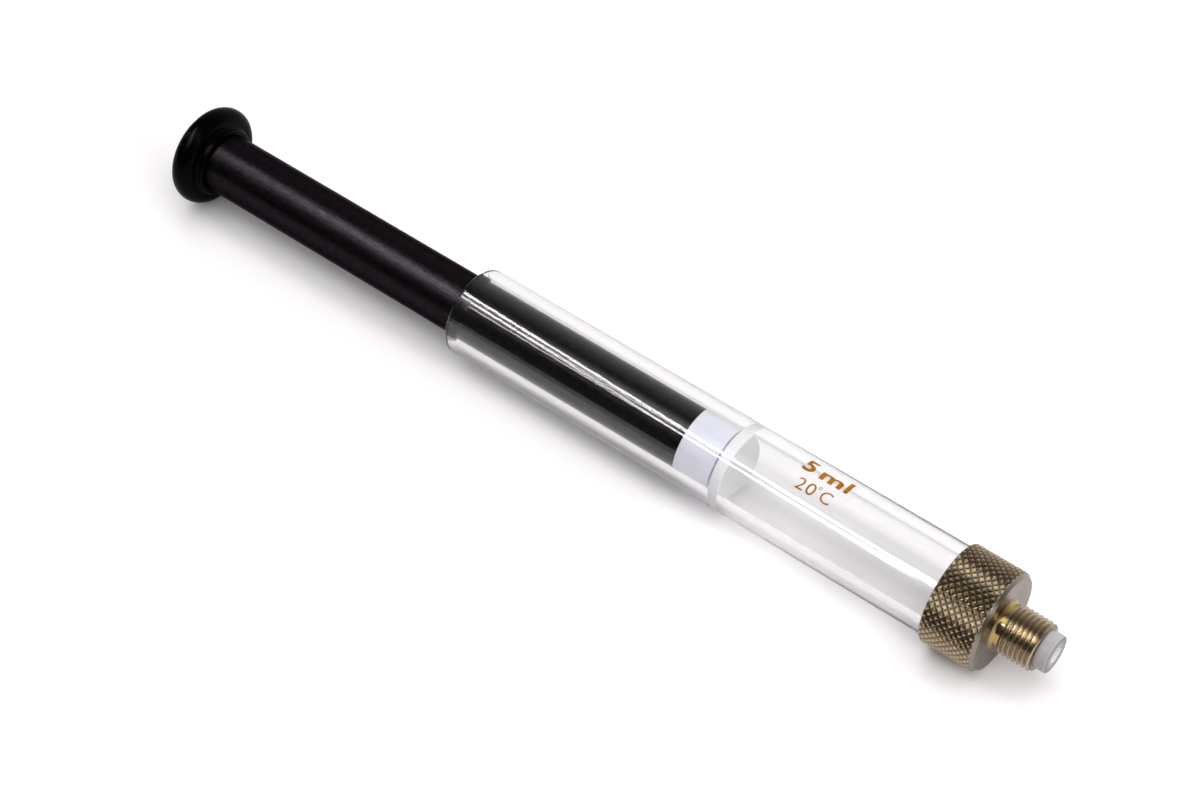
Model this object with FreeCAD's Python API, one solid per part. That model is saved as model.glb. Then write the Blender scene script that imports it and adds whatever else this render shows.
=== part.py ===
import FreeCAD, Part
import math
import os

# A gastight syringe of 5 ml that lies along X. The origin is on the axis, in the plane of the
# collar's front face, where the syringe seats on a valve. +X points out of the threaded nose
# and +Z is up. All sizes are in millimetres, and every x is a place along the axis.

# Glass barrel: a bore of this radius holds 5 ml over the stroke
BORE_R = 5.15
STROKE = 60.0
GUIDE_LENGTH = 26.5
GLASS_WALL = 2.13
MOUTH_OUTER_EDGE = 0.5
MOUTH_INNER_EDGE = 0.25
LEAD_IN_LENGTH = 1.8
LEAD_IN_RISE = 0.45
GROUND_EDGE = 0.15

# Collar and threaded nose, turned from one bar. The thread is plain at its major diameter.
COLLAR_LENGTH = 9.05
COLLAR_WALL = 0.7
COLLAR_REAR_CHAMFER = 0.2
FRONT_CHAMFER_LENGTH = 0.55
FRONT_CHAMFER_DEPTH = 0.62
FRONT_WALL = 1.5
THREAD_R = 3.95
THREAD_LENGTH = 5.6
THREAD_END_CHAMFER = 0.35
RELIEF_DEPTH = 0.4
RELIEF_WIDTH = 0.65
ROOT_RING = 0.15

# Insert of clear fluoroplastic: a disc that the glass is pressed on, and a stem with the duct
INSERT_DISC = 1.4
DUCT_R = 1.15
DUCT_CHAMFER = 0.15
STEM_R = 3.02
TIP_REACH = 1.93
TIP_EDGE = 0.25

# Seal of white fluoroplastic, with a contact land in front of a thin groove
SEAL_LENGTH = 8.5
LAND_LENGTH = 1.8
SEAL_GROOVE_WIDTH = 0.35
SEAL_GROOVE_DEPTH = 0.35
SEAL_FRONT_WALL = 0.8
SEAL_SIDE_WALL = 1.35
RING_SECTION = 1.78

# Plunger rod, with the barbed spigot that the seal snaps onto
ROD_BEHIND_SEAL = 96.65
ROD_EDGE = 0.3
SPIGOT_STEP = 0.8
BARB_RISE = 0.4
BARB_REACH = 2.4
BARB_LENGTH = 1.5

# Knob: a disc with a full round rim, and a low boss round the rod
BOSS_WALL = 0.8
BOSS_HEIGHT = 1.05
BOSS_EDGE = 0.25
BOSS_FOOT = 0.4
UNDERSIDE_FLAT = 0.13
RIM_ROUND = 2.12
ROD_IN_KNOB = 2.4

# Stud moulded into the knob, which screws into the rod. Its thread is plain.
STUD_R = 1.97
STUD_REACH = 9.0
STUD_CHAMFER = 0.4
STUD_HEAD_R = 4.0
STUD_HEAD = 1.0
STUD_NECK_R = 3.0
STUD_NECK = 0.6
TAP_RUN_OUT = 1.5
DRILL_HALF_ANGLE = 59.0

# Where the plunger stands at rest, and what clears what
REST_FROM_BOTTOM = 42.9
ROD_CLEARANCE = 0.1
SEAL_CLEARANCE = 0.05
LAND_CLEARANCE = 0.02
CEMENT_GAP = 0.16
SNUG = 0.03
END_PLAY = 0.1

# Radii that follow
BARREL_R = BORE_R + GLASS_WALL
COLLAR_BORE_R = BARREL_R + CEMENT_GAP
COLLAR_R = COLLAR_BORE_R + COLLAR_WALL
ROD_R = BORE_R - ROD_CLEARANCE
SEAL_R = BORE_R - SEAL_CLEARANCE
LAND_R = BORE_R - LAND_CLEARANCE
CAVITY_R = SEAL_R - SEAL_SIDE_WALL
NOSE_R = CAVITY_R - RING_SECTION
SPIGOT_R = NOSE_R + SPIGOT_STEP
BOSS_R = ROD_R + BOSS_WALL
RIM_CENTRE_R = BOSS_R + BOSS_FOOT + UNDERSIDE_FLAT

# Places along the axis, from the nose to the knob
THREAD_START = ROOT_RING + RELIEF_DEPTH + RELIEF_WIDTH
THREAD_END = THREAD_START + THREAD_LENGTH
TIP = THREAD_END + TIP_REACH
DISC_FRONT = -FRONT_WALL
DISC_REAR = DISC_FRONT - INSERT_DISC
COLLAR_REAR = -COLLAR_LENGTH
MOUTH = DISC_REAR - STROKE - SEAL_LENGTH - GUIDE_LENGTH
SEAL_FRONT = DISC_REAR - REST_FROM_BOTTOM
SEAL_REAR = SEAL_FRONT - SEAL_LENGTH
CAVITY_FRONT = SEAL_FRONT - SEAL_FRONT_WALL
CAVITY_REAR = CAVITY_FRONT - RING_SECTION - END_PLAY
BOSS_TOP = SEAL_REAR - ROD_BEHIND_SEAL
KNOB_UNDER = BOSS_TOP - BOSS_HEIGHT
KNOB_OUTER = KNOB_UNDER - 2 * RIM_ROUND
ROD_REAR = BOSS_TOP - ROD_IN_KNOB
STUD_HEAD_FRONT = ROD_REAR - STUD_NECK
STUD_HEAD_REAR = STUD_HEAD_FRONT - STUD_HEAD
STUD_END = ROD_REAR + STUD_REACH


def point(x, r):
    return FreeCAD.Vector(x, 0, r)


def turned(outline):
    """Turns a closed outline about the X axis. It is a list of (x, r) points, and a point with
    a third item, the word "arc", is the middle of an arc between its two neighbours."""
    edges = []
    count = len(outline)
    for i, item in enumerate(outline):
        following = outline[(i + 1) % count]
        if "arc" in item:
            before = outline[i - 1]
            ends = (point(*before), point(*item[:2]), point(*following))
            edges.append(Part.Arc(*ends).toShape())
        elif "arc" not in following:
            edges.append(Part.LineSegment(point(*item), point(*following)).toShape())
    face = Part.Face(Part.Wire(edges))
    return face.revolve(FreeCAD.Vector(0, 0, 0), FreeCAD.Vector(1, 0, 0), 360)


def glass_barrel():
    """Tube with a lead-in for the seal at its mouth and a ground end inside the collar."""
    mouth_bore_r = BORE_R + LEAD_IN_RISE
    return turned([
        (MOUTH + MOUTH_INNER_EDGE, mouth_bore_r),
        (MOUTH, mouth_bore_r + MOUTH_INNER_EDGE),
        (MOUTH, BARREL_R - MOUTH_OUTER_EDGE),
        (MOUTH + MOUTH_OUTER_EDGE, BARREL_R),
        (DISC_REAR - GROUND_EDGE, BARREL_R),
        (DISC_REAR, BARREL_R - GROUND_EDGE),
        (DISC_REAR, BORE_R),
        (MOUTH + LEAD_IN_LENGTH, BORE_R),
    ])


def knurled_collar():
    """Cup that the glass is cemented in, with the threaded nose on its front."""
    relief_r = THREAD_R - RELIEF_DEPTH
    root_r = THREAD_R + ROOT_RING
    thread_full = THREAD_START + RELIEF_DEPTH
    stem_hole_r = STEM_R + SNUG
    return turned([
        (COLLAR_REAR, COLLAR_BORE_R),
        (COLLAR_REAR, COLLAR_R - COLLAR_REAR_CHAMFER),
        (COLLAR_REAR + COLLAR_REAR_CHAMFER, COLLAR_R),
        (-FRONT_CHAMFER_LENGTH, COLLAR_R),
        (0, COLLAR_R - FRONT_CHAMFER_DEPTH),
        (0, root_r),
        (root_r - relief_r, relief_r),
        (THREAD_START, relief_r),
        (thread_full, THREAD_R),
        (THREAD_END - THREAD_END_CHAMFER, THREAD_R),
        (THREAD_END, THREAD_R - THREAD_END_CHAMFER),
        (THREAD_END, stem_hole_r),
        (DISC_FRONT, stem_hole_r),
        (DISC_FRONT, COLLAR_BORE_R),
    ])


def cement_sleeve():
    """The thin layer of cement between the glass and the collar."""
    rear = COLLAR_REAR + COLLAR_REAR_CHAMFER
    return turned([
        (rear, BARREL_R),
        (rear, COLLAR_BORE_R),
        (DISC_REAR, COLLAR_BORE_R),
        (DISC_REAR, BARREL_R),
    ])


def tip_insert():
    """Disc that closes the barrel, with a stem through the nose and a duct along it."""
    disc_r = COLLAR_BORE_R - SNUG
    return turned([
        (DISC_REAR, DUCT_R + DUCT_CHAMFER),
        (DISC_REAR, disc_r),
        (DISC_FRONT, disc_r),
        (DISC_FRONT, STEM_R),
        (TIP - TIP_EDGE, STEM_R),
        (TIP, STEM_R - TIP_EDGE),
        (TIP, DUCT_R),
        (DISC_REAR + DUCT_CHAMFER, DUCT_R),
    ])


def plunger_rod():
    """Black rod with a tapped rear end, and a barbed spigot and nose in front for the seal."""
    barb_step = SEAL_REAR + BARB_REACH
    barb_end = barb_step + BARB_LENGTH
    nose_r = NOSE_R - SNUG
    hole_r = STUD_R + SNUG
    hole_end = STUD_END + TAP_RUN_OUT
    drill_point = hole_r / math.tan(math.radians(DRILL_HALF_ANGLE))
    return turned([
        (ROD_REAR, hole_r),
        (ROD_REAR, ROD_R - ROD_EDGE),
        (ROD_REAR + ROD_EDGE, ROD_R),
        (SEAL_REAR - ROD_EDGE, ROD_R),
        (SEAL_REAR, ROD_R - ROD_EDGE),
        (SEAL_REAR, SPIGOT_R),
        (barb_step, SPIGOT_R),
        (barb_step, SPIGOT_R + BARB_RISE),
        (barb_end, SPIGOT_R),
        (CAVITY_REAR - END_PLAY, SPIGOT_R),
        (CAVITY_REAR - END_PLAY, nose_r),
        (CAVITY_FRONT - END_PLAY, nose_r),
        (CAVITY_FRONT - END_PLAY, 0),
        (hole_end + drill_point, 0),
        (hole_end, hole_r),
    ])


def plunger_seal():
    """Seal that snaps over the spigot. Its front lip is pushed out by the ring inside it."""
    land_rear = SEAL_FRONT - LAND_LENGTH
    groove_rear = land_rear - SEAL_GROOVE_WIDTH
    groove_r = SEAL_R - SEAL_GROOVE_DEPTH
    spigot_bore_r = SPIGOT_R + SNUG
    barb_step = SEAL_REAR + BARB_REACH - SNUG
    barb_end = barb_step + BARB_LENGTH + 2 * SNUG
    return turned([
        (SEAL_REAR, spigot_bore_r),
        (SEAL_REAR, SEAL_R),
        (groove_rear, SEAL_R),
        (groove_rear, groove_r),
        (land_rear, groove_r),
        (land_rear, LAND_R),
        (SEAL_FRONT, LAND_R),
        (SEAL_FRONT, 0),
        (CAVITY_FRONT, 0),
        (CAVITY_FRONT, CAVITY_R),
        (CAVITY_REAR, CAVITY_R),
        (CAVITY_REAR, spigot_bore_r),
        (barb_end, spigot_bore_r),
        (barb_step, spigot_bore_r + BARB_RISE),
        (barb_step, spigot_bore_r),
    ])


def seal_ring():
    """Square-cut rubber ring inside the seal, under its contact land."""
    ring_rear = CAVITY_FRONT - END_PLAY / 2 - RING_SECTION
    return turned([
        (ring_rear, NOSE_R),
        (ring_rear, CAVITY_R - SNUG),
        (ring_rear + RING_SECTION, CAVITY_R - SNUG),
        (ring_rear + RING_SECTION, NOSE_R),
    ])


def plunger_knob():
    """Disc with a round rim and a low boss. Its socket takes the rod; the stud is moulded in."""
    socket_r = ROD_R + SNUG
    return turned([
        (BOSS_TOP, socket_r),
        (BOSS_TOP, BOSS_R - BOSS_EDGE),
        (BOSS_TOP - BOSS_EDGE, BOSS_R),
        (KNOB_UNDER + BOSS_FOOT, BOSS_R),
        (KNOB_UNDER, BOSS_R + BOSS_FOOT),
        (KNOB_UNDER, RIM_CENTRE_R),
        (KNOB_UNDER - RIM_ROUND, RIM_CENTRE_R + RIM_ROUND, "arc"),
        (KNOB_OUTER, RIM_CENTRE_R),
        (KNOB_OUTER, 0),
        (STUD_HEAD_REAR, 0),
        (STUD_HEAD_REAR, STUD_HEAD_R),
        (STUD_HEAD_FRONT, STUD_HEAD_R),
        (STUD_HEAD_FRONT, STUD_NECK_R),
        (ROD_REAR, STUD_NECK_R),
        (ROD_REAR, socket_r),
    ])


def knob_stud():
    """Brass stud: a flanged head inside the knob, and a shank in the rod's tapped hole."""
    return turned([
        (STUD_HEAD_REAR, 0),
        (STUD_HEAD_REAR, STUD_HEAD_R),
        (STUD_HEAD_FRONT, STUD_HEAD_R),
        (STUD_HEAD_FRONT, STUD_NECK_R),
        (ROD_REAR, STUD_NECK_R),
        (ROD_REAR, STUD_R),
        (STUD_END - STUD_CHAMFER, STUD_R),
        (STUD_END, STUD_R - STUD_CHAMFER),
        (STUD_END, 0),
    ])


NODES = {
    "glass_barrel": glass_barrel,
    "knurled_collar": knurled_collar,
    "cement_sleeve": cement_sleeve,
    "tip_insert": tip_insert,
    "plunger_rod": plunger_rod,
    "plunger_seal": plunger_seal,
    "seal_ring": seal_ring,
    "plunger_knob": plunger_knob,
    "knob_stud": knob_stud,
}

os.makedirs("parts", exist_ok=True)
for name, build in NODES.items():
    shape = build()
    shape.exportStep(f"parts/{name}.step")
    print(name, "valid" if shape.isValid() else "NOT VALID", round(shape.Volume, 2), "mm3")
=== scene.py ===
import math

import bmesh
import bpy
from mathutils import Matrix, Vector, noise


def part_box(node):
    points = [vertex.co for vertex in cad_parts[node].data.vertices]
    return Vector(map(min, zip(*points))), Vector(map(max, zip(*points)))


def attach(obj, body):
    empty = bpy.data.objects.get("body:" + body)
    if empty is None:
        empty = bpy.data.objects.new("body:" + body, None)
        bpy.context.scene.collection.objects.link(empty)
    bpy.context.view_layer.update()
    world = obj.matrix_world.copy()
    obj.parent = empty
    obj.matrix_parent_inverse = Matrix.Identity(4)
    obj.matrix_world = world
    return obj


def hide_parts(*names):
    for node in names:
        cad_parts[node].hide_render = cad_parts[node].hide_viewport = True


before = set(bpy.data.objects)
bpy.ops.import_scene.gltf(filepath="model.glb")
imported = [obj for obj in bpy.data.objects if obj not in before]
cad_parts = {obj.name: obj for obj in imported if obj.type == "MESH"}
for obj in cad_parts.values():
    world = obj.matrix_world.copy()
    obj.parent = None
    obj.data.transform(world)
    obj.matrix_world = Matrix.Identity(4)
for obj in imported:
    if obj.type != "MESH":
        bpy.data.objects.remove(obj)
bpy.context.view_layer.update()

# A gastight syringe of 5 ml that lies along X. Sizes are in millimetres here, and MM turns
# them into the frame's metres. Places along the axis come from the CAD nodes' own boxes.
MM = 0.001
AROUND = 192


def ends(node):
    """Where a CAD node starts and ends along the axis, and its largest radius."""
    low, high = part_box(node)
    return low.x / MM, high.x / MM, high.z / MM


MOUTH, GLASS_FRONT, BARREL_R = ends("glass_barrel")
COLLAR_REAR, THREAD_END, COLLAR_R = ends("knurled_collar")
DISC_REAR, TIP, DISC_R = ends("tip_insert")
ROD_REAR, ROD_FRONT, ROD_R = ends("plunger_rod")
SEAL_REAR, SEAL_FRONT, _ = ends("plunger_seal")
KNOB_OUTER, BOSS_TOP, KNOB_R = ends("plunger_knob")
CEMENT_REAR, CEMENT_FRONT, COLLAR_BORE_R = ends("cement_sleeve")

BORE_R = 5.15
LEAD_IN_LENGTH = 1.8
LEAD_IN_RISE = 0.45


def rounded(outline, steps=8):
    """The closed outline as plain (x, r) points. A corner's third number is its rounding."""
    points = []
    for i, (x, r, *rounding) in enumerate(outline):
        corner = Vector((x, r))
        if not rounding:
            points.append(corner)
            continue
        before = (Vector(outline[i - 1][:2]) - corner).normalized()
        after = (Vector(outline[(i + 1) % len(outline)][:2]) - corner).normalized()
        half = before.angle(after) / 2
        centre = corner + (before + after).normalized() * rounding[0] / math.sin(half)
        start = corner + before * rounding[0] / math.tan(half) - centre
        end = corner + after * rounding[0] / math.tan(half) - centre
        sweep = start.angle_signed(end)
        for k in range(steps + 1):
            turned_by = Matrix.Rotation(-sweep * k / steps, 2)
            points.append(centre + turned_by @ start)
    return points


def as_mesh(name, vertices, faces, sharp_angle=30, marks=None):
    """A new object from points in millimetres, with its normals outward and smooth shading.
    Marks are named numbers, one for each vertex, that its material reads."""
    mesh = bpy.data.meshes.new(name)
    mesh.from_pydata([Vector(v) * MM for v in vertices], [], faces)
    for mark, values in (marks or {}).items():
        mesh.attributes.new(mark, "FLOAT", "POINT").data.foreach_set("value", values)
    work = bmesh.new()
    work.from_mesh(mesh)
    bmesh.ops.remove_doubles(work, verts=work.verts, dist=1e-7)
    bmesh.ops.dissolve_degenerate(work, edges=work.edges, dist=1e-8)
    bmesh.ops.recalc_face_normals(work, faces=work.faces)
    work.to_mesh(mesh)
    work.free()
    mesh.shade_smooth()
    mesh.set_sharp_from_angle(angle=math.radians(sharp_angle))
    made = bpy.data.objects.new(name, mesh)
    bpy.context.scene.collection.objects.link(made)
    return made


def around(x, r, angle):
    """A point at a place along the axis, a radius, and an angle from +Z towards -Y."""
    return (x, -r * math.sin(angle), r * math.cos(angle))


def lathe(name, outline, segments=AROUND, **marks):
    """Turns a closed (x, r) outline about the axis. A mark is a test of (x, r), stored as
    0 or 1 for the material."""
    points = rounded(outline)
    vertices, rings = [], []
    for x, r in points:
        count = 1 if r < 1e-6 else segments
        rings.append(range(len(vertices), len(vertices) + count))
        vertices += [around(x, r, math.tau * k / segments) for k in range(count)]
    faces = []
    for ring, after in zip(rings, rings[1:] + rings[:1]):
        if len(ring) == len(after) == 1:
            continue
        for k in range(segments):
            a, b = ring[k % len(ring)], ring[(k + 1) % segments % len(ring)]
            c, d = after[(k + 1) % segments % len(after)], after[k % len(after)]
            faces.append([a, b, c, d] if len({a, b, c, d}) == 4 else
                         list(dict.fromkeys([a, b, c, d])))
    stored = {mark: [float(test(x, math.hypot(y, z))) for x, y, z in vertices]
              for mark, test in marks.items()}
    return as_mesh(name, vertices, faces, marks=stored)


# Materials

def shader_node(material, kind, inputs=None, **settings):
    """Adds a node. An input is a value, or the output socket that feeds it."""
    made = material.node_tree.nodes.new("ShaderNode" + kind)
    for key, value in settings.items():
        setattr(made, key, value)
    for key, value in (inputs or {}).items():
        if isinstance(value, bpy.types.NodeSocket):
            material.node_tree.links.new(value, made.inputs[key])
        else:
            made.inputs[key].default_value = value
    return made


def new_material(name, **values):
    """A Principled material. Values are named as its sockets, with _ for each space."""
    material = bpy.data.materials.new(name)
    material.use_nodes = True
    shader = material.node_tree.nodes["Principled BSDF"]
    for key, value in values.items():
        shader.inputs[key.replace("_", " ")].default_value = value
    return material, shader


def feed(material, output, shader, socket):
    material.node_tree.links.new(output, shader.inputs[socket])


def stretched(material, scale):
    """Object coordinates, scaled by a different number along each axis."""
    place = shader_node(material, "TexCoord")
    return shader_node(material, "Mapping", {"Vector": place.outputs["Object"],
                                             "Scale": scale}).outputs["Vector"]


def speckle(material, coordinates, scale, low, high, detail=3.0):
    """Noise whose value runs from low to high."""
    grain = shader_node(material, "TexNoise", {"Vector": coordinates, "Scale": scale,
                                               "Detail": detail})
    spread = shader_node(material, "MapRange", {"Value": grain.outputs["Fac"],
                                                "From Min": 0.3, "From Max": 0.7,
                                                "To Min": low, "To Max": high})
    return spread.outputs["Result"]


def bump(material, shader, height, strength, distance):
    made = shader_node(material, "Bump", {"Height": height, "Strength": strength,
                                          "Distance": distance})
    feed(material, made.outputs["Normal"], shader, "Normal")


def blended(material, factor, first, second):
    """Colour that goes from first to second with the factor."""
    mix = shader_node(material, "Mix", data_type="RGBA")
    mix.inputs["Factor"].default_value = 0
    material.node_tree.links.new(factor, mix.inputs["Factor"])
    for socket, value in ((mix.inputs[6], first), (mix.inputs[7], second)):
        if isinstance(value, bpy.types.NodeSocket):
            material.node_tree.links.new(value, socket)
        else:
            socket.default_value = (*value, 1)
    return mix.outputs[2]


def mixed(material, factor, first, second):
    """A number that goes from first to second with the factor."""
    return shader_node(material, "Mix", {0: factor, 2: first, 3: second}).outputs[0]


def glass_material():
    """Clear borosilicate, with the faint lines that drawing leaves along a tube."""
    material, shader = new_material("borosilicate_glass", Base_Color=(1, 1, 1, 1),
                                    Transmission_Weight=1, IOR=1.474, Roughness=0)
    lines = speckle(material, stretched(material, (0.01, 1, 1)), 500, 0, 1, detail=1)
    bump(material, shader, lines, 0.1, 0.000003)
    return material


def metal_material():
    """Nickel-plated brass: champagne on the crests, with painted shade in the grooves and the
    thread's roots, golden in the relief, and smoother where it is turned than where it is
    knurled."""
    material, shader = new_material("plated_brass", Metallic=1)
    plain = stretched(material, (1, 1, 1))
    depth = shader_node(material, "Attribute", attribute_name="depth").outputs["Fac"]
    gold = shader_node(material, "Attribute", attribute_name="gold").outputs["Fac"]
    turned = shader_node(material, "Attribute", attribute_name="turned").outputs["Fac"]
    tone = speckle(material, plain, 900, 0, 1)
    plated = blended(material, tone, (0.70, 0.57, 0.40), (0.94, 0.80, 0.57))
    # Painted shade: the depth mark darkens the knurl's grooves and the thread's roots to dark
    # brown
    groove_shaded = blended(material, depth, plated, (0.16, 0.10, 0.045))
    smooth = blended(material, turned, groove_shaded, (0.38, 0.33, 0.27))
    coloured = blended(material, gold, smooth, (0.62, 0.43, 0.14))
    feed(material, coloured, shader, "Base Color")
    grainy = speckle(material, plain, 2500, 0.14, 0.30)
    marks = speckle(material, stretched(material, (12, 1, 1)), 300, 0.24, 0.34)
    finish = mixed(material, turned, grainy, marks)
    feed(material, mixed(material, gold, finish, 0.12), shader, "Roughness")
    bump(material, shader, mixed(material, turned, speckle(material, plain, 5000, 0, 1), 0.5),
         0.15, 0.00003)
    return material


def insert_material():
    """Milky fluoroplastic that lets some light through, with painted shade on its end face
    and a painted glow in its duct.
    """
    material, shader = new_material("clear_fluoroplastic", IOR=1.38, Subsurface_Weight=0.3,
                                    Subsurface_Scale=0.0008)
    shader.inputs["Subsurface Radius"].default_value = (1, 1, 1)
    plain = stretched(material, (1, 1, 1))
    cloud = speckle(material, plain, 500, 0, 1)
    milky = blended(material, cloud, (0.45, 0.425, 0.435), (0.51, 0.48, 0.49))
    cut = shader_node(material, "Attribute", attribute_name="cut").outputs["Fac"]
    duct = shader_node(material, "Attribute", attribute_name="duct").outputs["Fac"]
    # Painted shade: the end face that looks towards the tip is darker than the rest
    shaded_end_face = blended(material, cut, milky, (0.15, 0.14, 0.18))
    # Painted light: the duct's wall is painted near white, as a glow
    feed(material, blended(material, duct, shaded_end_face, (0.95, 0.95, 0.97)), shader, "Base Color")
    feed(material, speckle(material, plain, 900, 0.25, 0.4), shader, "Roughness")
    return material


def seal_material():
    """White fluoroplastic, with painted shade that makes it cooler and darker over the dark
    spigot than at its front, and painted shade in its groove.
    """
    material, shader = new_material("white_fluoroplastic", Roughness=0.4, IOR=1.38,
                                    Subsurface_Weight=1, Subsurface_Scale=0.0004)
    shader.inputs["Subsurface Radius"].default_value = (1, 1, 1)
    cloud = speckle(material, stretched(material, (1, 1, 1)), 400, 0, 1)
    # Painted shade: the rear over the dark spigot is cooler and darker than the front
    rear = blended(material, cloud, (0.80, 0.80, 0.96), (0.84, 0.845, 1.0))
    front = shader_node(material, "Attribute", attribute_name="front").outputs["Fac"]
    white = blended(material, front, rear, (0.92, 0.91, 0.99))
    # Painted shade: the groove mark darkens the groove
    groove = shader_node(material, "Attribute", attribute_name="groove").outputs["Fac"]
    feed(material, blended(material, groove, white, (0.50, 0.48, 0.60)), shader, "Base Color")
    return material


def rod_material():
    """Black anodised metal with a fine drawn grain, dark at its edges too."""
    material, shader = new_material("black_anodised", Metallic=1,
                                    Specular_Tint=(0.44, 0.43, 0.44, 1))
    drawn = stretched(material, (0.3, 1, 1))
    grain = speckle(material, drawn, 3200, 0, 1)
    feed(material, blended(material, grain, (0.013, 0.0108, 0.0128), (0.025, 0.0205, 0.0245)),
         shader, "Base Color")
    feed(material, speckle(material, drawn, 1800, 0.27, 0.37), shader, "Roughness")
    bump(material, shader, speckle(material, drawn, 4200, 0, 1), 0.35, 0.00002)
    return material


def knob_material():
    """Moulded black plastic, polished by handling."""
    material, shader = new_material("black_gloss", Base_Color=(0.0006, 0.0004, 0.0005, 1),
                                    Specular_IOR_Level=0.045,
                                    Specular_Tint=(1, 0.9, 1, 1))
    plain = stretched(material, (1, 1, 1))
    feed(material, speckle(material, plain, 260, 0.16, 0.22), shader, "Roughness")
    bump(material, shader, speckle(material, plain, 1800, 0, 1), 0.05, 0.00003)
    return material


def plain_material(name, colour, darker, roughness, metallic=0):
    """A simple finish for the pieces that lie inside, with a cloudy colour."""
    material, shader = new_material(name, Roughness=roughness, Metallic=metallic)
    cloud = speckle(material, stretched(material, (1, 1, 1)), 900, 0, 1)
    feed(material, blended(material, cloud, colour, darker), shader, "Base Color")
    bump(material, shader, cloud, 0.1, 0.00005)
    return material


def print_material():
    """Fired amber ink, patchy where it is thick."""
    material, shader = new_material("amber_print", Roughness=0.4, Specular_IOR_Level=0.15)
    patchy = speckle(material, stretched(material, (1, 1, 1)), 1500, 0, 1)
    feed(material, blended(material, patchy, (0.27, 0.075, 0.0), (0.52, 0.20, 0.002)),
         shader, "Base Color")
    return material


def dress(piece, material, slot, body, *nodes):
    """Gives a piece its material, and puts it on its body instead of CAD nodes. The slot is not
    used.
    """
    piece.data.materials.clear()
    piece.data.materials.append(material)
    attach(piece, body)
    if nodes:
        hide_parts(*nodes)
    return piece


# Pieces of the barrel

GLASS = glass_material()
METAL = metal_material()

GLASS_AROUND = 360
barrel = lathe("glass_tube", [
    (MOUTH, BORE_R + LEAD_IN_RISE, 0.3),
    (MOUTH, BARREL_R, 0.7),
    (GLASS_FRONT, BARREL_R, 0.15),
    (GLASS_FRONT, BORE_R),
    (MOUTH + LEAD_IN_LENGTH, BORE_R, 1.5),
], segments=GLASS_AROUND)
dress(barrel, GLASS, "borosilicate_glass", "barrel", "glass_barrel")

# The cement goes a little into glass and collar, so that no gap shows
CEMENT_OVERLAP = 0.006
cement = lathe("cement_layer", [
    (CEMENT_REAR, BARREL_R - CEMENT_OVERLAP),
    (CEMENT_REAR, COLLAR_BORE_R + CEMENT_OVERLAP, 0.04),
    (CEMENT_FRONT, COLLAR_BORE_R + CEMENT_OVERLAP),
    (CEMENT_FRONT, BARREL_R - CEMENT_OVERLAP),
])
dress(cement, plain_material("cement", (0.55, 0.53, 0.5), (0.42, 0.4, 0.38), 0.7),
      "cement", "barrel", "cement_sleeve")

# The knurled collar with the threaded nose. Two families of helical grooves cross in the
# knurl, and each crossing pattern repeats over a start and over a pitch.
KNURL_STARTS = 39
KNURL_PITCH = 1.18
KNURL_DEPTH = 0.27
GROOVE_SHARE = 0.49
CREST_GAP = 0.015
UNEVENNESS = 0.03
UNEVENNESS_SCALE = 0.9
CELLS = 8
CHAMFER_LENGTH = 0.52
CHAMFER_DEPTH = 0.62
REAR_CHAMFER = 0.2
KNURL_START = COLLAR_REAR + 0.45
KNURL_END = -CHAMFER_LENGTH - 0.22
REAR_ROWS = 9
END_ROWS = (0.18, 0.12, 0.06)
CHAMFER_ROWS = 6

NOSE_ROOT_R = 4.10
NOSE_MARGIN = 0.25
RELIEF_R = 3.55
RELIEF_START = 0.42
RELIEF_END = 1.2
RELIEF_ROUNDING = 0.35
EDGE_BREAK = 0.05
THREAD_R = 3.95
THREAD_PITCH = 25.4 / 32
THREAD_DEPTH = 0.47
THREAD_CHAMFER = 0.35
THREAD_PHASE = 0.30
THREAD_CREST = 0.12
THREAD_FLANKS = 0.8
THREAD_SHADE, THREAD_GOLD, THREAD_TURNED = 0.85, 0.08, 0.55
ROWS_PER_PITCH = 16
STEM_HOLE_R = 3.05
DISC_FRONT = -1.5


def groove(phase):
    """Depth of one family of grooves, from 0 on a pad to 1 at the bottom."""
    from_middle = abs(phase % 1 - 0.5)
    return max(0, 1 - from_middle / GROOVE_SHARE)


def knurl(x, angle):
    """(radius, depth from 0 to 1, 1 where it is turned) of the collar's outside."""
    turn = KNURL_STARTS * angle / math.tau
    pitch = x / KNURL_PITCH
    cut = max(groove(turn + pitch), groove(turn - pitch))
    spot = Vector(around(x, COLLAR_R, angle)) * UNEVENNESS_SCALE
    crest = COLLAR_R - CREST_GAP - UNEVENNESS * noise.noise(spot)
    radius = crest - KNURL_DEPTH * cut
    up_the_front = -x / CHAMFER_LENGTH
    front = COLLAR_R - CHAMFER_DEPTH + (CHAMFER_DEPTH - KNURL_DEPTH) * up_the_front
    if up_the_front > 1:
        front = COLLAR_R - KNURL_DEPTH + 2 * (up_the_front - 1) * CHAMFER_LENGTH
    rear = COLLAR_R - REAR_CHAMFER + (x - COLLAR_REAR)
    limited = min(radius, front, rear)
    knurled = limited == radius
    return limited, cut if knurled else 0, 0 if knurled else 1


class Grid:
    """Points in rings round the axis, with the marks that the metal reads."""

    def __init__(self, columns):
        self.columns = columns
        self.points, self.faces = [], []
        self.marks = {"depth": [], "gold": [], "turned": []}

    def add(self, x, r, angle, depth=0.0, gold=0.0, turned=0.0):
        self.points.append(around(x, r, angle))
        for mark, value in (("depth", depth), ("gold", gold), ("turned", turned)):
            self.marks[mark].append(value)
        return len(self.points) - 1

    def ring(self, x, r, gold=0.0, turned=0.0):
        """Adds a ring of points and returns the number of its first point."""
        numbers = [self.add(x, r, math.tau * k / self.columns, 0, gold, turned)
                   for k in range(self.columns)]
        return numbers[0]

    def join(self, first, second):
        """Faces between two rings."""
        for k in range(self.columns):
            after = (k + 1) % self.columns
            self.faces.append([first + k, first + after, second + after, second + k])


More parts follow.
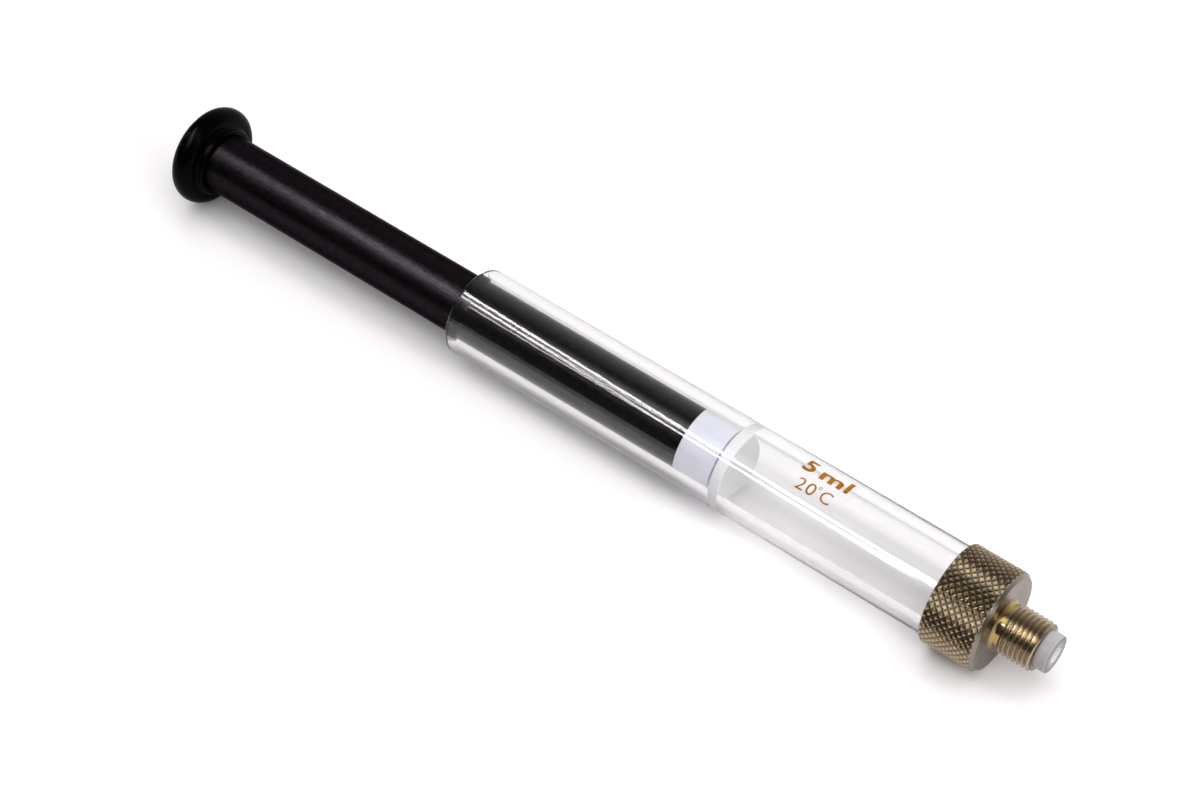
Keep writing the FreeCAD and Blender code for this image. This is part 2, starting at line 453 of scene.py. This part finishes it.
def add_knurl(grid):
    """The knurled outside, with a point in the middle of each quad to catch its slopes."""
    steps = range(math.ceil(-COLLAR_REAR * CELLS / KNURL_PITCH), 0, -1)
    inner = [-step * KNURL_PITCH / CELLS for step in steps]
    inner = [x for x in inner if KNURL_START < x < KNURL_END]
    rear = [COLLAR_REAR + (KNURL_START - COLLAR_REAR) * k / REAR_ROWS
            for k in range(REAR_ROWS + 1)]
    front = [-CHAMFER_LENGTH - gap for gap in END_ROWS]
    front += [-CHAMFER_LENGTH + CHAMFER_LENGTH * k / CHAMFER_ROWS
              for k in range(CHAMFER_ROWS + 1)]
    for x in rear + inner + front:
        for k in range(grid.columns):
            angle = math.tau * k / grid.columns
            radius, cut, turned = knurl(x, angle)
            # The groove depth is also the mark for the metal's painted shade
            grid.add(x, radius, angle, cut, 0, turned)
    rows = len(rear + inner + front)
    for row in range(rows - 1):
        grid.join(row * grid.columns, (row + 1) * grid.columns)
    quads, grid.faces = grid.faces, []
    for quad in quads:
        centre = sum((Vector(grid.points[v]) for v in quad), Vector()) / 4
        angle = math.atan2(-centre.y, centre.z)
        radius, cut, turned = knurl(centre.x, angle)
        middle = grid.add(centre.x, radius, angle, cut, 0, turned)
        grid.faces += [[quad[k], quad[(k + 1) % 4], middle] for k in range(4)]
    return (rows - 1) * grid.columns


def add_thread(grid):
    """A grid that is sheared along the right-hand helix, cut by the cones at both ends."""
    rise = THREAD_PITCH / ROWS_PER_PITCH
    rows = math.ceil((THREAD_END - RELIEF_END) / rise) + 2 * ROWS_PER_PITCH + 1
    start = len(grid.points)
    for row in range(rows):
        phase = (row / ROWS_PER_PITCH + THREAD_PHASE) % 1
        cut = 1 - min(1, max(0, (abs(phase - 0.5) * 2 - THREAD_CREST) / THREAD_FLANKS))
        for k in range(grid.columns):
            x = RELIEF_END + (row - ROWS_PER_PITCH) * rise + THREAD_PITCH * k / grid.columns
            x = min(max(x, RELIEF_END), THREAD_END)
            radius = min(THREAD_R - THREAD_DEPTH * cut, RELIEF_R + (x - RELIEF_END),
                         THREAD_R - THREAD_CHAMFER + (THREAD_END - x))
            # The cut, times THREAD_SHADE, paints shade into the thread's roots
            grid.add(x, radius, -math.tau * k / grid.columns, THREAD_SHADE * cut ** 2,
                     THREAD_GOLD, THREAD_TURNED)
    last = start + (rows - 1) * grid.columns
    for row in range(rows - 1):
        here = start + row * grid.columns
        for k in range(grid.columns):
            after = (k + 1) % grid.columns
            shift = ROWS_PER_PITCH * grid.columns if after == 0 else 0
            low = min(here + shift, last)
            high = min(here + grid.columns + shift, last)
            grid.faces.append([here + k, low + after, high + after,
                               here + grid.columns + k])


def knurled_nose():
    """The knurl, the chamfered face, the relief, the thread, and the bore and cup inside."""
    grid = Grid(KNURL_STARTS * CELLS)
    last = add_knurl(grid)
    face_r = COLLAR_R - CHAMFER_DEPTH - 0.02
    profile = rounded([(0, NOSE_ROOT_R + NOSE_MARGIN), (0, NOSE_ROOT_R, 0.06),
                       (RELIEF_START, RELIEF_R + 0.05, RELIEF_ROUNDING),
                       (RELIEF_END, RELIEF_R), (RELIEF_END, NOSE_ROOT_R + NOSE_MARGIN)])[:-1]
    steps = [(0, face_r, 0), (0, NOSE_ROOT_R + 1.5, 0)]
    steps += [(x, r, min(1, max(0, (NOSE_ROOT_R - r) * 3))) for x, r in profile]
    for x, r, golden in steps:
        here = grid.ring(x, r, golden, 1)
        grid.join(last, here)
        last = here
    add_thread(grid)
    last = grid.ring(THREAD_END, THREAD_R - THREAD_CHAMFER, 0, 1)
    for x, r in [(THREAD_END, STEM_HOLE_R + EDGE_BREAK),
                 (THREAD_END - EDGE_BREAK, STEM_HOLE_R),
                 (DISC_FRONT, STEM_HOLE_R), (DISC_FRONT, COLLAR_BORE_R),
                 (COLLAR_REAR + EDGE_BREAK, COLLAR_BORE_R),
                 (COLLAR_REAR, COLLAR_BORE_R + EDGE_BREAK)]:
        here = grid.ring(x, r, 0, 1)
        grid.join(last, here)
        last = here
    grid.join(last, 0)
    return as_mesh("knurled_nose", grid.points, grid.faces, 24, grid.marks)


dress(knurled_nose(), METAL, "plated_brass", "barrel", "knurled_collar")

DUCT_R = 1.15
DUCT_LEAD_IN = 0.15
STEM_R = 3.02
# The cut mark picks the end face for painted shade, and the duct mark the duct for a painted
# glow
insert = lathe("duct_insert", [
    (DISC_REAR, DUCT_R + DUCT_LEAD_IN, 0.05),
    (DISC_REAR, DISC_R, 0.05),
    (DISC_FRONT, DISC_R, 0.05),
    (DISC_FRONT, STEM_R),
    (TIP, STEM_R, 0.25),
    (TIP, DUCT_R, 0.08),
    (DISC_REAR + DUCT_LEAD_IN, DUCT_R),
], cut=lambda x, r: x > TIP - 0.04 and r > DUCT_R + 0.3, duct=lambda x, r: r < DUCT_R + 0.04)
dress(insert, insert_material(), "clear_fluoroplastic", "barrel", "tip_insert")

# Pieces of the plunger

NOSE_R = 1.94
NOSE_REAR = -48.58
SPIGOT_R = 2.77
BARB_START = SEAL_REAR + 2.4
BARB_END = SEAL_REAR + 3.9
BARB_RISE = 0.4
TAP_R = 2.0
TAP_END = -142.85
DRILL_POINT = -141.65
rod = lathe("rod", [
    (ROD_REAR, TAP_R),
    (ROD_REAR, ROD_R, 0.3),
    (SEAL_REAR, ROD_R, 0.25),
    (SEAL_REAR, SPIGOT_R),
    (BARB_START, SPIGOT_R),
    (BARB_START, SPIGOT_R + BARB_RISE),
    (BARB_END, SPIGOT_R),
    (NOSE_REAR, SPIGOT_R),
    (NOSE_REAR, NOSE_R),
    (ROD_FRONT, NOSE_R),
    (ROD_FRONT, 0),
    (DRILL_POINT, 0),
    (TAP_END, TAP_R),
])
dress(rod, rod_material(), "black_anodised", "plunger", "plunger_rod")

SEAL_R = 5.10
SNUG = 0.03
CAVITY_R = 3.75
CAVITY_REAR = -48.48
CAVITY_FRONT = SEAL_FRONT - 0.8
LAND_REAR = SEAL_FRONT - 1.8
GROOVE_REAR = LAND_REAR - 0.35
GROOVE_R = SEAL_R - 0.35
# The land is pressed into the bore, and so a little larger than it
SQUEEZE = 0.02
# The front mark keeps the land and face free of the painted shade, and the groove mark picks
# the groove for painted shade
seal = lathe("lip_seal", [
    (SEAL_REAR, SPIGOT_R + SNUG),
    (SEAL_REAR, SEAL_R, 0.12),
    (GROOVE_REAR, SEAL_R, 0.08),
    (GROOVE_REAR, GROOVE_R, 0.05),
    (LAND_REAR, GROOVE_R, 0.05),
    (LAND_REAR, BORE_R + SQUEEZE, 0.08),
    (SEAL_FRONT, BORE_R + SQUEEZE, 0.15),
    (SEAL_FRONT, 0),
    (CAVITY_FRONT, 0),
    (CAVITY_FRONT, CAVITY_R),
    (CAVITY_REAR, CAVITY_R),
    (CAVITY_REAR, SPIGOT_R + SNUG),
], groove=lambda x, r: abs(r - GROOVE_R) < 0.03, front=lambda x, r: x > LAND_REAR - 0.1)
dress(seal, seal_material(), "white_fluoroplastic", "plunger", "plunger_seal")

BOSS_R = 5.85
KNOB_UNDER = BOSS_TOP - 1.05
STUD_HEAD_R = 4.0
STUD_HEAD_REAR = -154.9
STUD_HEAD_FRONT = -153.95
STUD_NECK_R = 3.0
knob = lathe("knob", [
    (BOSS_TOP, ROD_R + SNUG),
    (BOSS_TOP, BOSS_R, 0.35),
    (KNOB_UNDER, BOSS_R, 0.5),
    (KNOB_UNDER, KNOB_R, 1.95),
    (KNOB_OUTER, KNOB_R, 2.15),
    (KNOB_OUTER, 0),
    (STUD_HEAD_REAR, 0),
    (STUD_HEAD_REAR, STUD_HEAD_R, 0.05),
    (STUD_HEAD_FRONT, STUD_HEAD_R, 0.05),
    (STUD_HEAD_FRONT, STUD_NECK_R),
    (ROD_REAR, STUD_NECK_R),
    (ROD_REAR, ROD_R + SNUG),
])
dress(knob, knob_material(), "black_gloss", "plunger", "plunger_knob")

# Two pieces that lie inside keep their CAD shape
for node, material in (
    ("seal_ring", plain_material("black_rubber", (0.02, 0.02, 0.02), (0.03, 0.03, 0.03), 0.6)),
    ("knob_stud", plain_material("bare_brass", (0.7, 0.5, 0.2), (0.6, 0.42, 0.17), 0.3, 1)),
):
    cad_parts[node].data.materials.clear()
    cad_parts[node].data.materials.append(material)

# Plain printing on the glass: the volume, and the temperature that it holds at
PRINT = print_material()
PRINT_R = BARREL_R + 0.012
PRINT_BANDS = 10


def flat_text(words, weight):
    """The filled outline of some words as bmesh, in the XY plane."""
    curve = bpy.data.curves.new("words", "FONT")
    curve.body = words
    curve.offset = weight
    curve.fill_mode = "FRONT"
    text = bpy.data.objects.new("words", curve)
    bpy.context.scene.collection.objects.link(text)
    bpy.context.view_layer.update()
    flat = bpy.data.meshes.new_from_object(text)
    bpy.data.objects.remove(text)
    work = bmesh.new()
    work.from_mesh(flat)
    bpy.data.meshes.remove(flat)
    return work


def printed(name, feet, chunks, weight=0.0):
    """Words on the glass that read towards the tip. feet is the angle in degrees where they
    stand. A chunk is (words, where it starts and ends along the axis, how far its feet are
    above the line, height)."""
    joined = bmesh.new()
    for words, start, end, lift, height in chunks:
        work = flat_text(words, weight)
        low = [min(v.co[i] for v in work.verts) for i in range(2)]
        high = [max(v.co[i] for v in work.verts) for i in range(2)]
        for k in range(1, PRINT_BANDS):
            cut = low[1] + (high[1] - low[1]) * k / PRINT_BANDS
            bmesh.ops.bisect_plane(work, geom=work.verts[:] + work.edges[:] + work.faces[:],
                                   plane_co=(0, cut, 0), plane_no=(0, 1, 0))
        for v in work.verts:
            along = start + (end - start) * (v.co.x - low[0]) / (high[0] - low[0])
            up = lift + height * (v.co.y - low[1]) / (high[1] - low[1])
            v.co = Vector(around(along, PRINT_R, math.radians(feet) - up / PRINT_R)) * MM
        flat = bpy.data.meshes.new(name)
        work.to_mesh(flat)
        joined.from_mesh(flat)
        work.free()
        bpy.data.meshes.remove(flat)
    mesh = bpy.data.meshes.new(name)
    joined.to_mesh(mesh)
    joined.free()
    made = bpy.data.objects.new(name, mesh)
    bpy.context.scene.collection.objects.link(made)
    return dress(made, PRINT, "borosilicate_glass", "barrel")


printed("volume_print", -4.2, [("5", -36.05, -34.10, 0, 2.81),
                               ("m", -33.00, -29.20, 0, 1.76),
                               ("l", -28.72, -27.98, 0, 2.81)], weight=0.03)
printed("temperature_print", 21.3, [("2", -35.00, -33.70, 0, 1.98),
                                    ("0", -33.30, -31.90, 0, 1.98),
                                    ("\u00b0", -31.75, -31.20, 1.57, 0.55),
                                    ("C", -30.85, -29.10, 0, 1.98)])

# Floor, lights and camera

# The syringe rests on its knob and its collar, so the floor lies at a slight tilt
KNOB_REST = KNOB_OUTER + 2
COLLAR_REST = -4.5
TILT = math.atan((KNOB_R - COLLAR_R) / (COLLAR_REST - KNOB_REST))
FLOOR_SIZE = 3.0

# How bright the floor is for each kind of ray, as a share of the light on it. For the camera
# it rises from near to far, because the light falls off there.
NEAR_WHITE, NEAR_REACH = 1.15, 0.35
FAR_WHITE, FAR_REACH = 12.0, 2.0
WHITE_IN_GLOSS = 0.75
WHITE_THROUGH_GLASS = 0.23
WHITE_TINT = (1, 0.972, 0.988)


def total(owner, *parts):
    """The sum of sockets, each times its number."""
    added = 0.0
    for socket, share in parts:
        added = shader_node(owner, "Math", {0: socket, 1: share, 2: added},
                            operation="MULTIPLY_ADD").outputs[0]
    return added


def floor_material():
    """Near-white paper, which the camera sees as white as the photo's overexposed ground."""
    material, shader = new_material("paper", Base_Color=(0.86, 0.855, 0.86, 1), Roughness=0.9,
                                    Specular_IOR_Level=0.1)
    rays = shader_node(material, "LightPath").outputs
    place = shader_node(material, "TexCoord").outputs["Object"]
    reach = shader_node(material, "VectorMath", {0: place}, operation="LENGTH").outputs["Value"]
    white = shader_node(material, "MapRange", {"Value": reach,
                                               "From Min": NEAR_REACH, "From Max": FAR_REACH,
                                               "To Min": NEAR_WHITE, "To Max": FAR_WHITE})
    for_camera = shader_node(material, "Math", {0: rays["Is Camera Ray"],
                                                1: white.outputs["Result"]},
                             operation="MULTIPLY").outputs[0]
    lit = total(material, (for_camera, 1.0), (rays["Is Glossy Ray"], WHITE_IN_GLOSS),
                (rays["Is Transmission Ray"], WHITE_THROUGH_GLASS))
    seen = shader_node(material, "Math", {0: lit, 1: 0.5}, operation="GREATER_THAN")
    tint = shader_node(material, "VectorMath", {0: WHITE_TINT, "Scale": lit},
                       operation="SCALE").outputs[0]
    lifted = shader_node(material, "BsdfDiffuse", {"Color": tint})
    both = shader_node(material, "MixShader", {0: seen.outputs[0], 1: shader.outputs[0],
                                               2: lifted.outputs[0]})
    surface = material.node_tree.nodes["Material Output"].inputs["Surface"]
    material.node_tree.links.new(both.outputs[0], surface)
    return material


def make_floor():
    size = FLOOR_SIZE
    mesh = bpy.data.meshes.new("floor")
    mesh.from_pydata([(-size, -size, 0), (size, -size, 0), (size, size, 0), (-size, size, 0)],
                     [], [(0, 1, 2, 3)])
    floor = bpy.data.objects.new("floor", mesh)
    bpy.context.scene.collection.objects.link(floor)
    floor.rotation_euler.y = -TILT
    floor.location = (KNOB_REST * MM, 0, -KNOB_R * MM)
    mesh.materials.append(floor_material())


SYRINGE_MIDDLE = Vector((-0.075, 0, 0))
GLASS_SHADE = 0.05
CEILING = 0.7

# Nothing but the glass: what the clear part of each softbox shines through without a shadow
see_through = bpy.data.collections.new("see_through")
see_through.objects.link(barrel)
see_through.collection_objects[0].light_linking.link_state = "EXCLUDE"


def light_panel(name, centre, along, size, radiance):
    """A rectangle of light that faces the syringe, with its first side towards along."""
    data = bpy.data.lights.new(name, "AREA")
    data.shape = "RECTANGLE"
    data.size, data.size_y = size
    data.energy = radiance * math.pi * size[0] * size[1]
    light = bpy.data.objects.new(name, data)
    bpy.context.scene.collection.objects.link(light)
    away = (centre - SYRINGE_MIDDLE).normalized()
    side = (along - away * along.dot(away)).normalized()
    turned = Matrix((side, away.cross(side), away)).transposed().to_4x4()
    light.matrix_world = Matrix.Translation(centre) @ turned
    light.visible_camera = False
    return light


def above(degrees):
    """A direction, as an angle from straight up towards -Y."""
    return Vector((0, -math.sin(math.radians(degrees)), math.cos(math.radians(degrees))))


def soft_light(name, away, distance, size, radiance):
    """Light from one direction that shows neither in gloss nor through glass."""
    light = light_panel(name, SYRINGE_MIDDLE + away * distance, Vector((1, 0, 0)), size,
                        radiance)
    light.visible_glossy = False
    light.visible_transmission = False
    return light


def softbox(name, away, distance, size, radiance):
    """Soft light in two parts. The glass casts its shadow in the weaker one alone."""
    clear = soft_light(f"{name}_clear", away, distance, size, radiance * (1 - GLASS_SHADE))
    clear.light_linking.blocker_collection = see_through
    soft_light(f"{name}_shaded", away, distance, size, radiance * GLASS_SHADE)


def lamp(name, start, end, width, radiance):
    """A lamp between two places at the ceiling's height. It lights no matt surface and shows
    only in gloss and glass, and not after a matt bounce."""
    start, end = (Vector((*place, CEILING)) for place in (start, end))
    light = light_panel(name, (start + end) / 2, end - start, ((end - start).length, width),
                        radiance)
    light.visible_diffuse = False
    light.data.use_nodes = True
    bounces = shader_node(light.data, "LightPath").outputs["Diffuse Depth"]
    shown = shader_node(light.data, "Math", {0: bounces, 1: 0.5}, operation="LESS_THAN")
    emission = light.data.node_tree.nodes["Emission"]
    light.data.node_tree.links.new(shown.outputs[0], emission.inputs["Strength"])


make_floor()

# For each: its direction, distance, size and radiance
FROM_THE_TIP = Vector((0.9, 0, 0.42)).normalized()
softbox("softbox_over", above(-10), 0.70, (1.0, 0.25), 1.45)
softbox("softbox_wide", above(6.5), 0.70, (1.0, 0.70), 0.81)
softbox("softbox_far", above(-40), 0.80, (1.0, 0.58), 0.32)
softbox("softbox_near", above(50), 0.90, (1.0, 0.50), 0.1)
softbox("softbox_tip", FROM_THE_TIP, 0.90, (0.5, 1.0), 2.4)

# A fill light for the white seal alone, on the side that the others leave dim
white_pieces = bpy.data.collections.new("white_pieces")
white_pieces.objects.link(seal)
fill = soft_light("fill", above(55), 0.9, (1.0, 0.5), 1.3)
fill.light_linking.receiver_collection = white_pieces
fill.light_linking.blocker_collection = see_through

# Two rows of ceiling lamps that cross over the syringe on a slant. The first row has gaps.
LAMP_STEP = Vector((0.0315, -0.0325))
ROW_START = Vector((-0.6435, -0.0075))
LAMP_SHARE = 0.88
LAMP_WIDTH = 0.055
LAMP_RADIANCE = 24
LAMPS = 17
for k in range(LAMPS):
    first = ROW_START + LAMP_STEP * k
    lamp(f"lamp_{k}", first, first + LAMP_STEP * LAMP_SHARE, LAMP_WIDTH, LAMP_RADIANCE)
lamp("lamp_row", (-0.620, -0.190), (-0.250, -0.750), 0.045, 13)

WORLD_BASE = 0.05
FAR_SIDE = 0.75
FAR_SIDE_POWER = 1.6
LOWEST = 0.02
GLOW = 1.3
GLOW_SLOPE = 0.33
GLOW_INSIDE, GLOW_OUTSIDE = 0.04, 0.42

world = bpy.data.worlds.new("studio")
bpy.context.scene.world = world
world.use_nodes = True


def world_node(kind, inputs=None, **settings):
    return shader_node(world, kind, inputs, **settings)


def world_math(operation, *values):
    return world_node("Math", dict(enumerate(values)), operation=operation).outputs[0]


def light_the_world():
    """A room that is dim but for its far side and a soft glow round the lamps. The camera
    and clear glass see it white."""
    direction = world_node("TexCoord").outputs["Generated"]
    parts = world_node("SeparateXYZ", {0: direction}).outputs
    far = world_math("POWER", world_math("MAXIMUM", parts["Y"], 0), FAR_SIDE_POWER)
    up = world_math("MAXIMUM", parts["Z"], LOWEST)
    slope = world_math("DIVIDE", world_math("MULTIPLY", parts["Y"], -1), up)
    off = world_math("ABSOLUTE", world_math("SUBTRACT", slope, GLOW_SLOPE))
    glow = world_node("MapRange", {"Value": off, "From Min": GLOW_OUTSIDE,
                                   "From Max": GLOW_INSIDE, "To Min": 0, "To Max": GLOW},
                      interpolation_type="SMOOTHSTEP").outputs[0]
    strength = world_math("ADD", world_math("MULTIPLY", far, FAR_SIDE),
                          world_math("ADD", glow, WORLD_BASE))
    rays = world_node("LightPath").outputs
    through = rays["Is Transmission Ray"]
    plain = world_math("LESS_THAN", world_math("ADD", rays["Glossy Depth"],
                                               rays["Diffuse Depth"]), 0.5)
    seen = world_math("MAXIMUM", rays["Is Camera Ray"],
                      world_math("MULTIPLY", through, plain))
    dim = world.node_tree.nodes["Background"]
    dim.inputs["Color"].default_value = (1, 1, 1, 1)
    world.node_tree.links.new(strength, dim.inputs["Strength"])
    white = world_node("Background", {"Color": (1, 1, 1, 1), "Strength": 1.0})
    both = world_node("MixShader", {0: seen, 1: dim.outputs[0], 2: white.outputs[0]})
    surface = world.node_tree.nodes["World Output"].inputs["Surface"]
    world.node_tree.links.new(both.outputs[0], surface)


light_the_world()

LENS = 80.5
SENSOR = 36
EYE = Vector((0.0940, -0.2117, 0.3087))
FORWARD = Vector((-0.4042, 0.5133, -0.7570))
RIGHT = Vector((0.7856, 0.6187, 0)).normalized()

camera_data = bpy.data.cameras.new("camera")
camera_data.lens = LENS
camera_data.sensor_width = SENSOR
camera_data.clip_start = 0.01
camera = bpy.data.objects.new("camera", camera_data)
bpy.context.scene.collection.objects.link(camera)
back = -FORWARD.normalized()
upward = back.cross(RIGHT)
turned = Matrix((RIGHT, upward, back)).transposed().to_4x4()
camera.matrix_world = Matrix.Translation(EYE) @ turned
bpy.context.scene.camera = camera

bpy.context.scene.view_settings.view_transform = "Standard"
